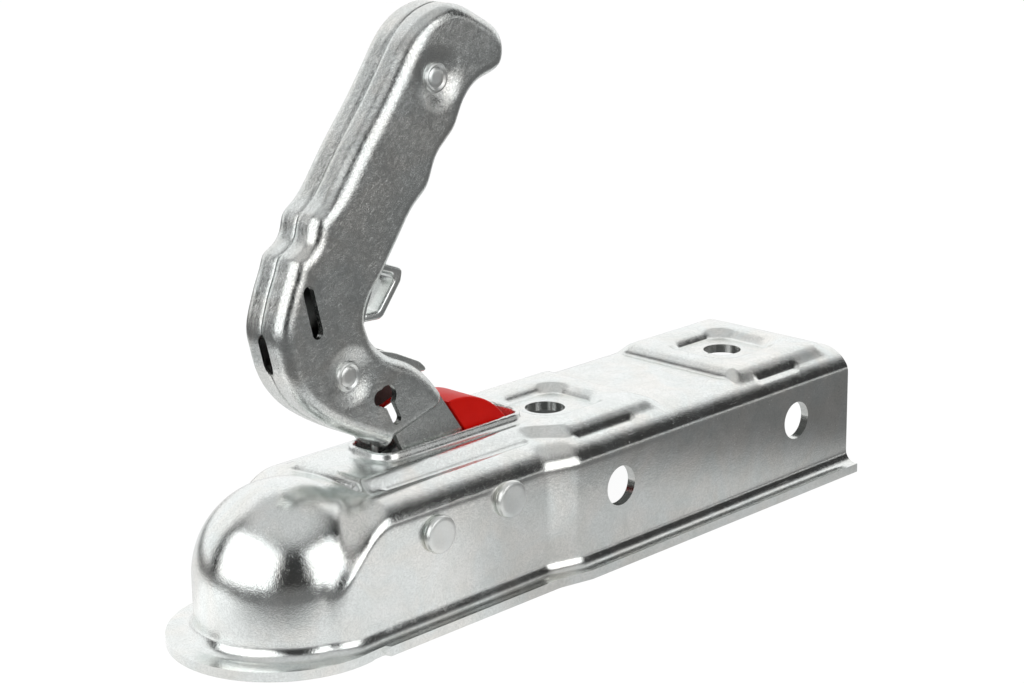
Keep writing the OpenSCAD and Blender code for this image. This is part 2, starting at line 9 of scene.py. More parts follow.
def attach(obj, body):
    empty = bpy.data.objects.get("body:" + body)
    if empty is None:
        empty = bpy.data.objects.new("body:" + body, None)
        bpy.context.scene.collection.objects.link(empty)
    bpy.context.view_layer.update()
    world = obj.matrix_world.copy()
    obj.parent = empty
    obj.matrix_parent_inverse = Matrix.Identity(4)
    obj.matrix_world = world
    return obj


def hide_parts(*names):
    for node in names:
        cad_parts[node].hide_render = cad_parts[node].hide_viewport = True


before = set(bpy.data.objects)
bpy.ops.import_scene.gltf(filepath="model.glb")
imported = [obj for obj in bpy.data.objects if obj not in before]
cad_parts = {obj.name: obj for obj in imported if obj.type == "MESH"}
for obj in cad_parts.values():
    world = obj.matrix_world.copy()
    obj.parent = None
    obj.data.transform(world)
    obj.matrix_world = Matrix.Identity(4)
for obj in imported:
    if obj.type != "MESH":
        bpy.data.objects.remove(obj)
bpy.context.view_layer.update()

# Camera: the eye stands ahead of the coupling on its left and looks a little down on it. The
# distances come from the bolt holes, 90 mm apart, and from the straight edges of the channel.
PHOTO_WIDTH = 1024
FOCAL_PIXELS = 2395.33
SENSOR_WIDTH = 36.0
eye = np.array([-424.73, -508.59, 257.53]) / 1000
azimuth = math.radians(-45.66)
elevation = math.radians(15.94)
roll = math.radians(-0.79)
back = np.array([math.sin(azimuth) * math.cos(elevation), -math.cos(azimuth) * math.cos(elevation),
                 math.sin(elevation)])
right = np.array([math.cos(azimuth), math.sin(azimuth), 0.0])
up = np.cross(back, right)
right, up = (math.cos(roll) * right + math.sin(roll) * up,
             -math.sin(roll) * right + math.cos(roll) * up)
camera_data = bpy.data.cameras.new("camera")
camera_data.sensor_width = SENSOR_WIDTH
camera_data.lens = FOCAL_PIXELS / PHOTO_WIDTH * SENSOR_WIDTH
camera_data.clip_start = 0.01
camera_data.clip_end = 50.0
camera = bpy.data.objects.new("camera", camera_data)
bpy.context.scene.collection.objects.link(camera)
camera.matrix_world = Matrix([[*(float(v) for v in row), float(at)]
                              for row, at in zip(np.stack([right, up, back], axis=1), eye)]
                             + [[0.0, 0.0, 0.0, 1.0]])
bpy.context.scene.camera = camera
bpy.context.scene.view_settings.view_transform = "Standard"

# Studio: a white sweep behind the coupling, a grey ceiling, a table and two soft boxes at the
# viewer's side. The polished zinc shows them as the white patches and dark bands on the dome.
TABLE_Z = -0.0194


def add(tree, kind, **values):
    """A new node of that kind, with properties set by name and inputs by their label in `inputs`."""
    node = tree.nodes.new(kind)
    for label, value in values.pop("inputs", {}).items():
        if isinstance(value, bpy.types.NodeSocket):
            tree.links.new(value, node.inputs[label])
        else:
            node.inputs[label].default_value = value
    for label, value in values.items():
        setattr(node, label, value)
    return node


def math_node(tree, operation, *values, clamp=False):
    """The output of a Math node that works on these numbers or sockets."""
    node = tree.nodes.new("ShaderNodeMath")
    node.operation = operation
    node.use_clamp = clamp
    for socket, value in zip(node.inputs, values):
        if isinstance(value, bpy.types.NodeSocket):
            tree.links.new(value, socket)
        else:
            socket.default_value = value
    return node.outputs[0]


def times(tree, *values):
    """The product of two numbers or sockets."""
    return math_node(tree, "MULTIPLY", *values)


def plus(tree, *values, clamp=False):
    """The sum of two numbers or sockets."""
    return math_node(tree, "ADD", *values, clamp=clamp)


def ramp_between(tree, value, low, high):
    """0 below low, 1 above high and a smooth step between them; low may be the larger one."""
    node = tree.nodes.new("ShaderNodeMapRange")
    node.interpolation_type = "SMOOTHSTEP"
    flip = low > high
    tree.links.new(value, node.inputs["Value"])
    node.inputs["From Min"].default_value = min(low, high)
    node.inputs["From Max"].default_value = max(low, high)
    node.inputs["To Min"].default_value = 1.0 if flip else 0.0
    node.inputs["To Max"].default_value = 0.0 if flip else 1.0
    return node.outputs["Result"]


def seen_directly(tree):
    """1 for a ray from the camera, off gloss or through glass, otherwise 0."""
    path = tree.nodes.new("ShaderNodeLightPath")
    shown = math_node(tree, "MAXIMUM", path.outputs["Is Camera Ray"], path.outputs["Is Glossy Ray"])
    return math_node(tree, "MAXIMUM", shown, path.outputs["Is Transmission Ray"])


# Sweep, ceiling and a pale strip on the right are the world's own colours, dark at the viewer's
# side. The camera itself sees plain white.
AWAY_FROM_VIEWER = (0.62, 0.78)
CEILING_LEVEL = 0.58
HORIZON_LEVEL = 0.7
DARK_LEVEL = 0.035
world = bpy.data.worlds.new("studio")
world.use_nodes = True
bpy.context.scene.world = world
tree = world.node_tree
tree.nodes.clear()
way = add(tree, "ShaderNodeSeparateXYZ",
          inputs={"Vector": add(tree, "ShaderNodeTexCoord").outputs["Generated"]}).outputs
behind = plus(tree, times(tree, way[0], AWAY_FROM_VIEWER[0]), times(tree, way[1], AWAY_FROM_VIEWER[1]))
sweep = times(tree, ramp_between(tree, behind, 0.26, 0.42), ramp_between(tree, way[2], 0.93, 0.72))
ceiling = times(tree, ramp_between(tree, way[2], 0.62, 0.9), CEILING_LEVEL)
horizon = times(tree, ramp_between(tree, way[2], 0.11, 0.05), ramp_between(tree, way[0], 0.45, 0.65))
ceiling = math_node(tree, "MAXIMUM", ceiling, times(tree, horizon, HORIZON_LEVEL))
level = plus(tree, math_node(tree, "MAXIMUM", sweep, ceiling), DARK_LEVEL)
camera_ray = tree.nodes.new("ShaderNodeLightPath").outputs["Is Camera Ray"]
level = math_node(tree, "MAXIMUM", level, camera_ray)
shade = add(tree, "ShaderNodeBackground", inputs={"Color": (1.0, 1.0, 1.0, 1.0), "Strength": level})
output = add(tree, "ShaderNodeOutputWorld")
tree.links.new(shade.outputs[0], output.inputs["Surface"])

# The table is white to the camera. In the zinc it shows painted pools of light: its own glow, in zones, darker towards
# the viewer
TABLE_HALF = 4.0
TABLE_PAINTED_GREY = 0.09
NEAR_PAINTED_LIGHT, MIDDLE_PAINTED_LIGHT, BACK_PAINTED_LIGHT = 0.27, 0.40, 0.3
table_mesh = bpy.data.meshes.new("table")
corners = [(x * TABLE_HALF, y * TABLE_HALF, TABLE_Z) for x, y in ((-1, -1), (1, -1), (1, 1), (-1, 1))]
table_mesh.from_pydata(corners, [], [(0, 1, 2, 3)])
table = bpy.data.objects.new("table", table_mesh)
bpy.context.scene.collection.objects.link(table)
table_white_painted_light = bpy.data.materials.new("table white with painted light")
table_white_painted_light.use_nodes = True
tree = table_white_painted_light.node_tree
tree.nodes.clear()
place = add(tree, "ShaderNodeSeparateXYZ",
            inputs={"Vector": add(tree, "ShaderNodeTexCoord").outputs["Object"]}).outputs


def beyond(tree, place, across_x, across_y, offset, start, end):
    """1 on the near side of a line on the table, falling to 0 between start and end metres past it."""
    away = plus(tree, times(tree, place[0], across_x), times(tree, place[1], across_y))
    return ramp_between(tree, plus(tree, away, offset), end, start)


# Painted light: the table glows in zones, brighter near the coupling and darker towards the viewer, and the zinc
# reflects that glow
near_part = beyond(tree, place, 0.7382, 0.6746, 0.0366, 0.04, 0.066)
middle_part = beyond(tree, place, 0.5375, -0.8433, -0.2129, -0.075, -0.01)
back_part = ramp_between(tree, place[1], -0.02, 0.05)
painted_light = plus(tree, times(tree, times(tree, near_part, middle_part), NEAR_PAINTED_LIGHT),
           times(tree, middle_part, MIDDLE_PAINTED_LIGHT))
painted_light = plus(tree, painted_light, times(tree, back_part, BACK_PAINTED_LIGHT))
painted_light = times(tree, painted_light, beyond(tree, place, -0.8267, 0.563, -0.0843, 0.02, 0.08))
painted_light = times(tree, painted_light, beyond(tree, place, -0.7382, -0.6746, -0.0366, 0.01, 0.045))
painted_glow = plus(tree, painted_light, TABLE_PAINTED_GREY)
path = tree.nodes.new("ShaderNodeLightPath")
painted_glow = times(tree, painted_glow, seen_directly(tree))
painted_glow = math_node(tree, "MAXIMUM", painted_glow, times(tree, path.outputs["Is Camera Ray"], 0.96))
card = add(tree, "ShaderNodeBsdfDiffuse", inputs={"Color": (0.10, 0.10, 0.10, 1.0)})
shine = add(tree, "ShaderNodeEmission", inputs={"Color": (1.0, 1.0, 1.0, 1.0), "Strength": painted_glow})
both = tree.nodes.new("ShaderNodeAddShader")
tree.links.new(card.outputs[0], both.inputs[0])
tree.links.new(shine.outputs[0], both.inputs[1])
output = add(tree, "ShaderNodeOutputMaterial")
tree.links.new(both.outputs[0], output.inputs["Surface"])
table_mesh.materials.append(table_white_painted_light)


def soft_box(name, toward, width, height, strength):
    """A rectangular lamp 1 m off in the direction (azimuth, elevation) in degrees, turned to the dome."""
    azimuth, elevation = (math.radians(v) for v in toward)
    out = np.array([math.cos(azimuth) * math.cos(elevation), math.sin(azimuth) * math.cos(elevation),
                    math.sin(elevation)])
    side = np.array([-math.sin(azimuth), math.cos(azimuth), 0.0])
    lamp = bpy.data.lights.new(name, "AREA")
    lamp.shape = "RECTANGLE"
    lamp.size = width
    lamp.size_y = height
    lamp.energy = strength * math.pi * width * height
    lamp.color = (1.0, 1.0, 1.0)
    holder = bpy.data.objects.new(name, lamp)
    bpy.context.scene.collection.objects.link(holder)
    at = np.array([0.0, 0.0, 0.02]) + out
    holder.matrix_world = Matrix([[*(float(v) for v in row), float(p)]
                                  for row, p in zip(np.stack([side, np.cross(out, side), out], axis=1), at)]
                                 + [[0.0, 0.0, 0.0, 1.0]])
    return holder


soft_box("left soft box", (176, 24), 1.50, 1.0, 1.5)
soft_box("front soft box", (-78, 20), 0.80, 0.80, 1.6)

# Housing: one sheet of 3 mm steel, pressed over the ball's dome and into the channel for the
# drawbar, with raised plateaus on its roof and a flange all round, then zinc-plated.
DOME_R = 28.2
ROOF_Z = 24.4
FRONT_HALF, REAR_HALF = 29.6, 33.0
END_X = 229.5
JOGGLE_X, JOGGLE_RUN = 79.5, 12.0
BEND_R, BEND_IN = 12.5, 11.0
SHOULDER_RISE = 13.4
CHANNEL_FRONT = 6.0
RIM_R, RIM_AHEAD = 34.4, 2.8
RISE = 2.8
FLANGE_TOP = -16.3
FLARE_R = 4.0
SHEET = 3.0
SLOT = (32.35, 90.75, 8.3, 4.5)
FRONT_SEAT = (97.0, 128.5, 14.5, 9.0)
REAR_SEAT = (183.5, 216.0, 15.5, 9.0)
BOLTS = (110.5, 200.5)
BOLT_R = 6.5
SIDE_BOLT_Z = 5.5
SMOOTH_ANGLE = 38.0


def step(low, high, value):
    """0 below low and 1 above high, with the cubic 3t^2 - 2t^3 between them; works downwards too."""
    t = np.clip((value - low) / (high - low), 0.0, 1.0)
    return t * t * (3 - 2 * t)


def soft_max(a, b, k):
    """The larger of a and b, with the corner where they meet filled in over a difference of k."""
    h = np.maximum(k - np.abs(a - b), 0.0) / k
    return np.maximum(a, b) + h * h * k / 4


def soft_min(a, b, k):
    """The smaller of a and b, with the corner where they meet rounded off over a difference of k."""
    return -soft_max(-a, -b, k)


def spaced(*stretches):
    """Values from stretches (start, end, count), each without its end, and the last end."""
    rows = [np.linspace(a, b, n, endpoint=False) for a, b, n in stretches]
    return np.concatenate(rows + [[stretches[-1][1]]])


def half_width(x):
    """Half the channel's width: 29.6 ahead of the joggle and 33 behind it, on a straight ramp."""
    ramp = FRONT_HALF + (REAR_HALF - FRONT_HALF) * (x - JOGGLE_X) / JOGGLE_RUN
    return soft_min(soft_max(ramp, FRONT_HALF, 0.5), REAR_HALF, 0.5)


def housing_skin(x, y, z):
    """Below 0 inside the pressed shape and above 0 outside it, near enough a distance in mm.

    The channel is |y| < half with its roof at Z(x) = min(ROOF_Z, x + SHOULDER_RISE), so that the
    bend runs on down the sloping shoulder, and it ends at x = -CHANNEL_FRONT. The dome joins it.
    """
    half = half_width(x)
    roof = soft_min(np.full_like(x, ROOF_Z), x + SHOULDER_RISE, 5.0)
    past, above = np.abs(y) - (half - BEND_IN), z - (roof - BEND_R)
    bend = np.where((past > 0) & (above > 0), np.hypot(past, above) - BEND_R,
                    np.where(past > 0, -BEND_R, z - roof))
    channel = soft_max(np.abs(y) - half, bend, 0.8)
    channel = soft_max(channel, -x - CHANNEL_FRONT, 8.0)
    return soft_min(channel, np.sqrt(x * x + y * y + z * z) - DOME_R, 4.0)


def housing_reach(x0, ux, uy, uz):
    """Distance from the point x0 on the axis to the skin along the direction u, by halving."""
    low, high = np.zeros_like(uy), np.full_like(uy, 60.0)
    for _ in range(40):
        middle = (low + high) / 2
        outside = housing_skin(x0 + middle * ux, middle * uy, middle * uz) > 0
        low, high = np.where(outside, low, middle), np.where(outside, middle, high)
    return (low + high) / 2


def plateau(x, y, ends, top_half, foot_half):
    """0 to 1: up over (ends 0, 1), down over (ends 2, 3) along X, and down from top_half to foot_half."""
    up = np.clip((x - ends[0]) / (ends[1] - ends[0]), 0.0, 1.0)
    down = np.clip((ends[3] - x) / (ends[3] - ends[2]), 0.0, 1.0)
    along = (1 - (1 - up) ** 2) * (1 - (1 - down) ** 2)
    t = np.clip((np.abs(y) - top_half) / (foot_half - top_half), 0.0, 1.0)
    return along * (1 - 0.45 * t - 0.55 * t * t * (3 - 2 * t))


def rounded_box_distance(x, y, x0, x1, half, radius):
    """Signed distance in plan from a box with rounded corners, less than 0 inside it."""
    qx = np.abs(x - (x0 + x1) / 2) - (x1 - x0) / 2 + radius
    qy = np.abs(y) - half + radius
    return np.hypot(np.maximum(qx, 0), np.maximum(qy, 0)) + np.minimum(np.maximum(qx, qy), 0) - radius


def groove(x, y, x0, x1, at, depth, width):
    """A pressed line at |y| = at from x0 to x1, a bell-shaped trough with round ends."""
    beyond = np.maximum(np.maximum(x0 - x, x - x1), 0.0)
    return -depth * np.exp(-((np.abs(y) - at) ** 2 + beyond ** 2) / (width * width))


def seat(x, y, box):
    """0 to 1: 1 inside a rounded box, where a bolt seats, and falling to 0 over a wall 4.6 mm wide."""
    return np.clip((1.6 - rounded_box_distance(x, y, *box)) / 4.6, 0, 1) ** 2


def roof_height(x, y):
    """Height of the pressed roof over its flat, in mm: plateaus less the bolt seats, and grooves."""
    widen = step(82.0, 97.0, x)
    front = plateau(x, y, (14.9, 18.6, 133.0, 139.3), 13.2 + 8.2 * widen, 19.9 + 6.6 * widen)
    rear = plateau(x, y, (174.3, 179.3, 220.0, 226.4), 22.4, 28.4)
    seats = seat(x, y, FRONT_SEAT) + seat(x, y, REAR_SEAT)
    height = RISE * (front + rear) * (1 - seats)
    height = height + groove(x, y, 22.0, 80.5, 20.0, 0.55, 0.85)
    height = height + groove(x, y, 97.0, 122.5, 26.4, 0.7, 0.85)
    height = height + groove(x, y, 185.5, 205.0, 28.2, 0.8, 1.0)
    crease = np.exp(-((x - 173.6) / 0.9) ** 2) * step(24.0, 20.0, np.abs(y))
    return height - 0.35 * crease


def quads(points, weld=1e-4):
    """Corner points (in mm) and faces of a grid of points [row, column].

    Points less than weld apart become one, so that seams and poles close, and quads that lose a
    corner become triangles. Returns points in metres, quads and triangles as arrays.
    """
    rows, columns = points.shape[:2]
    index = np.arange(rows * columns).reshape(rows, columns)
    faces = np.stack([index[:-1, :-1], index[1:, :-1], index[1:, 1:], index[:-1, 1:]], axis=-1)
    faces = faces.reshape(-1, 4)
    flat = points.reshape(-1, 3)
    _, first, where = np.unique(np.round(flat / weld).astype(np.int64), axis=0, return_index=True,
                                return_inverse=True)
    faces = where.reshape(-1)[faces]
    same = faces == np.roll(faces, -1, axis=1)
    count = same.sum(axis=1)
    whole = faces[(count == 0) & (faces[:, 0] != faces[:, 2]) & (faces[:, 1] != faces[:, 3])]
    short, at = faces[count == 1], same[count == 1].argmax(axis=1)
    short = np.take_along_axis(short, (at[:, None] + 1 + np.arange(3)) % 4, axis=1)
    short = short[(short[:, 0] != short[:, 1]) & (short[:, 1] != short[:, 2]) & (short[:, 2] != short[:, 0])]
    return flat[first] / 1000, whole, short


def piece(name, parts, material, smooth=SMOOTH_ANGLE):
    """A new object from parts, each (points in metres, quads, other faces), smooth up to an angle."""
    verts, faces, start = [], [], 0
    for points, whole, short in parts:
        verts.append(points)
        faces += (whole + start).tolist() + [[corner + start for corner in face] for face in short]
        start += len(points)
    mesh = bpy.data.meshes.new(name)
    mesh.from_pydata(np.concatenate(verts).tolist(), [], faces)
    mesh.materials.append(material)
    mesh.shade_smooth()
    mesh.set_sharp_from_angle(angle=math.radians(smooth))
    mesh.validate()
    made = bpy.data.objects.new(name, mesh)
    bpy.context.scene.collection.objects.link(made)
    return made


def give_thickness(made, thickness, inner):
    """Solidify inwards from the outer skin, thickness in mm; the inner side has its own material."""
    made.data.materials.append(inner)
    wall = made.modifiers.new("wall", "SOLIDIFY")
    wall.thickness = thickness / 1000
    wall.offset = -1.0
    wall.material_offset = 1
    wall.use_quality_normals = True


def settle(made):
    """The modifiers so far become the mesh itself."""
    shown = made.evaluated_get(bpy.context.evaluated_depsgraph_get())
    mesh = bpy.data.meshes.new_from_object(shown)
    made.modifiers.clear()
    old, made.data = made.data, mesh
    bpy.data.meshes.remove(old)
    mesh.shade_smooth()
    mesh.set_sharp_from_angle(angle=math.radians(SMOOTH_ANGLE))


def outline_prism(outline, axis, low, high):
    """A closed prism: a plan outline (mm) carried along an axis, "y" or "z", with two flat ends."""
    n = len(outline)
    ends = [np.insert(outline, "xyz".index(axis), at, axis=1) for at in (low, high)]
    points = np.concatenate(ends) / 1000
    index = np.arange(n)
    sides = np.stack([index, np.roll(index, -1), np.roll(index, -1) + n, index + n], axis=1)
    return points, sides.tolist() + [index[::-1].tolist(), (index + n).tolist()]


def ring_points(cx, cy, radius, count=48):
    """Points of a circle, anticlockwise."""
    turn = np.linspace(0, 2 * np.pi, count, endpoint=False)
    return np.stack([cx + radius * np.cos(turn), cy + radius * np.sin(turn)], axis=1)


def round_box_points(x0, x1, half, radius, count=10):
    """Points of a rectangle with rounded corners, anticlockwise from its front right corner."""
    turn = np.linspace(0, np.pi / 2, count)
    centres = [(x1 - radius, half - radius), (x0 + radius, half - radius), (x0 + radius, radius - half),
               (x1 - radius, radius - half)]
    return np.concatenate([np.stack([cx + radius * np.cos(turn + k * np.pi / 2),
                                     cy + radius * np.sin(turn + k * np.pi / 2)], axis=1)
                           for k, (cx, cy) in enumerate(centres)])


def cut_out(made, prisms, name):
    """Holes: the closed prisms are taken out of the piece, with plated walls, and removed again."""
    verts, faces, start = [], [], 0
    for points, sides in prisms:
        verts.append(points)
        faces += [[v + start for v in face] for face in sides]
        start += len(points)
    mesh = bpy.data.meshes.new(name)
    mesh.from_pydata(np.concatenate(verts).tolist(), [], faces)
    mesh.materials.append(made.data.materials[0])
    cutter = bpy.data.objects.new(name, mesh)
    bpy.context.scene.collection.objects.link(cutter)
    tool = bmesh.new()
    tool.from_mesh(mesh)
    bmesh.ops.recalc_face_normals(tool, faces=tool.faces)
    tool.to_mesh(mesh)
    tool.free()
    cut = made.modifiers.new("holes", "BOOLEAN")
    cut.operation = "DIFFERENCE"
    cut.solver = "EXACT"
    cut.object = cutter
    settle(made)
    bpy.data.objects.remove(cutter)
    bpy.data.meshes.remove(mesh)


def zinc_group():
    """Node group for bright zinc plating: fine grain, fibrous crystals, soft dents and scratches.

    Height is in mm for a Bump node. Grain and Crystals say how strongly those two show.
    """
    group = bpy.data.node_groups.new("zinc plating", "ShaderNodeTree")
    face = group.interface
    face.new_socket("Vector", in_out="INPUT", socket_type="NodeSocketVector")
    for label, start in (("Grain", 1.0), ("Crystals", 1.0), ("Dents", 1.0), ("Roughness", 0.24)):
        face.new_socket(label, in_out="INPUT", socket_type="NodeSocketFloat").default_value = start
    face.new_socket("Color", in_out="OUTPUT", socket_type="NodeSocketColor")
    face.new_socket("Roughness", in_out="OUTPUT", socket_type="NodeSocketFloat")
    face.new_socket("Height", in_out="OUTPUT", socket_type="NodeSocketFloat")
    given = group.nodes.new("NodeGroupInput").outputs
    result = group.nodes.new("NodeGroupOutput").inputs

    def noise(scale, detail, distortion=0.0, vector=None, rough=0.5):
        """A noise texture's value, 0 to 1, over the group's vector or the one given."""
        return add(group, "ShaderNodeTexNoise",
                   inputs={"Vector": vector or given["Vector"], "Scale": scale, "Detail": detail,
                           "Roughness": rough, "Distortion": distortion}).outputs["Fac"]

    fine = noise(2700.0, 2.0)
    fibres = noise(420.0, 5.0, 3.2, rough=0.66)
    ridges = math_node(group, "ABSOLUTE", math_node(group, "SUBTRACT", fibres, 0.5))
    veins = ramp_between(group, ridges, 0.06, 0.0)
    broad = noise(38.0, 2.0)
    clouds = noise(120.0, 4.0, 0.6)
    turned = add(group, "ShaderNodeMapping",
                 inputs={"Vector": given["Vector"], "Rotation": (0.3, 0.9, 0.5),
                         "Scale": (3600.0, 70.0, 900.0)})
    scratch = ramp_between(group, noise(1.0, 1.0, 0.2, turned.outputs[0]), 0.70, 0.78)
    crossed = add(group, "ShaderNodeMapping",
                  inputs={"Vector": given["Vector"], "Rotation": (1.1, -0.7, 0.2),
                          "Scale": (60.0, 3300.0, 1100.0)})
    second = ramp_between(group, noise(1.0, 1.0, 0.2, crossed.outputs[0]), 0.72, 0.8)
    scratch = plus(group, scratch, second)
    height = times(group, times(group, fine, 0.019), given["Grain"])
    height = plus(group, height, times(group, times(group, fibres, 0.065), given["Crystals"]))
    height = plus(group, height, times(group, times(group, broad, 0.22), given["Dents"]))
    height = math_node(group, "SUBTRACT", height, times(group, scratch, 0.006))
    group.links.new(height, result["Height"])
    uneven = times(group, math_node(group, "SUBTRACT", clouds, 0.5), 0.16)
    rough = plus(group, given["Roughness"], uneven)
    rough = plus(group, rough, times(group, scratch, 0.10))
    rough = plus(group, rough, times(group, veins, times(group, given["Crystals"], 0.10)), clamp=True)
    group.links.new(rough, result["Roughness"])
    tint = add(group, "ShaderNodeValToRGB", inputs={"Fac": clouds})
    tint.color_ramp.elements[0].position, tint.color_ramp.elements[0].color = 0.32, (0.84, 0.855, 0.85, 1.0)
    tint.color_ramp.elements[1].position, tint.color_ramp.elements[1].color = 0.66, (0.925, 0.93, 0.93, 1.0)
    middle = tint.color_ramp.elements.new(0.5)
    middle.color = (0.89, 0.90, 0.897, 1.0)
    warmth = add(group, "ShaderNodeMix", data_type="RGBA", blend_type="MULTIPLY")
    warmth.inputs["Factor"].default_value = 1.0
    sheen = add(group, "ShaderNodeValToRGB", inputs={"Fac": noise(55.0, 2.0, 1.0)})
    sheen.color_ramp.elements[0].position, sheen.color_ramp.elements[0].color = 0.40, (0.975, 1.0, 0.99, 1.0)
    sheen.color_ramp.elements[1].position, sheen.color_ramp.elements[1].color = 0.66, (1.0, 0.985, 0.95, 1.0)
    group.links.new(tint.outputs["Color"], warmth.inputs["A"])
    group.links.new(sheen.outputs["Color"], warmth.inputs["B"])
    dull = add(group, "ShaderNodeMix", data_type="RGBA")
    share = times(group, veins, times(group, given["Crystals"], 0.55))
    group.links.new(share, dull.inputs["Factor"])
    group.links.new(warmth.outputs["Result"], dull.inputs["A"])
    dull.inputs["B"].default_value = (0.45, 0.47, 0.46, 1.0)
    group.links.new(dull.outputs["Result"], result["Color"])
    return group


zinc_plating = zinc_group()


def plated(name, grain=1.0, crystals=0.5, dents=1.0, roughness=0.24, tone=1.0):
    """Bright zinc on steel, from the plating group with this piece's own values."""
    material = bpy.data.materials.new(name)
    material.use_nodes = True
    tree = material.node_tree
    shader = tree.nodes["Principled BSDF"]
    shader.inputs["Metallic"].default_value = 1.0
    plating = tree.nodes.new("ShaderNodeGroup")
    plating.node_tree = zinc_plating
    tree.links.new(tree.nodes.new("ShaderNodeTexCoord").outputs["Object"], plating.inputs["Vector"])
    for label, value in (("Grain", grain), ("Crystals", crystals), ("Dents", dents),
                         ("Roughness", roughness)):
        plating.inputs[label].default_value = value
    darker = add(tree, "ShaderNodeMix", data_type="RGBA", blend_type="MULTIPLY")
    darker.inputs["Factor"].default_value = 1.0
    darker.inputs["B"].default_value = (tone, tone, tone, 1.0)
    tree.links.new(plating.outputs["Color"], darker.inputs["A"])
    tree.links.new(darker.outputs["Result"], shader.inputs["Base Color"])
    tree.links.new(plating.outputs["Roughness"], shader.inputs["Roughness"])
    bump = add(tree, "ShaderNodeBump", inputs={"Strength": 1.0, "Distance": 0.001,
                                               "Height": plating.outputs["Height"]})
    tree.links.new(bump.outputs["Normal"], shader.inputs["Normal"])
    return material


# Inner faces of the sheets and the inner parts: rougher, duller steel, and its tone of 0.3 is painted shade for the
# insides
inner_steel_painted_shade = plated("dull inner steel with painted shade", grain=1.4, crystals=0.7, dents=1.0, roughness=0.45, tone=0.3)
housing_zinc = plated("housing zinc", grain=1.0, crystals=0.6, dents=0.8, roughness=0.14)

# The grid's rows run up one side from the end, round the dome and back; its columns run from the
# roof's middle line over the bend, down the wall, round the flare and out along the flange
x_rows = spaced((0, 10.5, 16), (10.5, 14, 6), (14, 18.5, 18), (18.5, 32, 15), (32, 79, 36), (79, 92, 20),
                (92, 97, 5), (97, 130, 36), (130, 141, 16), (141, 172, 20), (172, 179, 18), (179, 186, 9),
                (186, 206, 20), (206, 219, 14), (219, END_X, 16))
turns = np.radians(np.linspace(-90, -270, 121))
row_x = np.concatenate([x_rows[::-1], np.zeros(119), x_rows])
row_turn = np.concatenate([np.full(len(x_rows), turns[0]), turns[1:-1], np.full(len(x_rows), turns[-1])])
roof_y = spaced((0, 8.4, 7), (8.4, 12.5, 5), (12.5, 30.5, 30))
tilt = np.concatenate([np.pi / 2 - np.arctan2(roof_y, ROOF_Z), np.radians(np.linspace(37.6, 0.0, 26))])
wall_z = np.array([-2.4, -4.8, -7.2, -9.4, -11.2])
curl = np.linspace(0, np.pi / 2, 8)
x0, turn = row_x[:, None], row_turn[:, None]
ux, uy = np.cos(turn) * np.cos(tilt), np.sin(turn) * np.cos(tilt)
uz = np.broadcast_to(np.sin(tilt), ux.shape)
reach = housing_reach(x0, ux, uy, uz)
upper = np.stack([x0 + reach * ux, reach * uy, reach * uz], axis=-1)
upper[..., 2] += roof_height(upper[..., 0], upper[..., 1]) * step(17.0, 21.5, upper[..., 2])
foot = reach[:, -1:]
ahead = RIM_AHEAD * np.cos(turn)
nose_edge = -ahead + np.sqrt(ahead ** 2 - RIM_AHEAD ** 2 + RIM_R ** 2)
early_edge = np.sqrt(np.maximum(RIM_R ** 2 - (x0 + RIM_AHEAD) ** 2, 0.0))
side_edge = np.where(x0 < 7.5, early_edge, 35.5 + 2.5 * np.clip((x0 - JOGGLE_X) / JOGGLE_RUN, 0, 1))
edge = np.maximum(np.where(x0 > 0, side_edge, nose_edge), foot + FLARE_R)
out = np.concatenate([np.broadcast_to(foot, (len(row_x), len(wall_z))), foot + FLARE_R * (1 - np.cos(curl)),
                      foot + FLARE_R + (edge - foot - FLARE_R) * np.array([0.35, 0.7, 0.92, 1.0])], axis=1)
down = np.concatenate([wall_z, FLANGE_TOP + FLARE_R * (1 - np.sin(curl)), np.full(4, FLANGE_TOP)])
lower = np.stack([x0 + out * np.cos(turn), out * np.sin(turn), np.broadcast_to(down, out.shape)], axis=-1)
shell = piece("housing_shell", [quads(np.concatenate([upper, lower], axis=1))], housing_zinc)
give_thickness(shell, SHEET, inner_steel_painted_shade)
settle(shell)
holes = [outline_prism(ring_points(x, 0.0, BOLT_R), "z", 12.0, 40.0) for x in BOLTS]
holes += [outline_prism(ring_points(x, SIDE_BOLT_Z, BOLT_R), "y", -45.0, 45.0) for x in BOLTS]
slot_outline = round_box_points(SLOT[0] - 0.7, SLOT[1] + 0.7, SLOT[2] + 0.7, SLOT[3] + 0.7)
holes += [outline_prism(slot_outline, "z", 12.0, 40.0)]
cut_out(shell, holes, "drills")
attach(shell, "base")
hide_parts("housing")

# Collar: the lip of the sheet that is drawn up round the handle's opening, 1.5 mm thick, with a
# slightly torn upper edge from the punch.


def swept_ring(path, profile):
    """Grid of points: the profile (offset outwards, height) carried round a closed plan path."""
    along = np.roll(path, -1, axis=0) - np.roll(path, 1, axis=0)
    along /= np.linalg.norm(along, axis=1, keepdims=True)
    outward = np.stack([along[:, 1], -along[:, 0]], axis=1)
    plan = path[:, None] + outward[:, None] * profile[None, :, :1]
    high = np.broadcast_to(profile[None, :, 1:], plan.shape[:2] + (1,))
    return np.concatenate([plan, high], axis=-1)


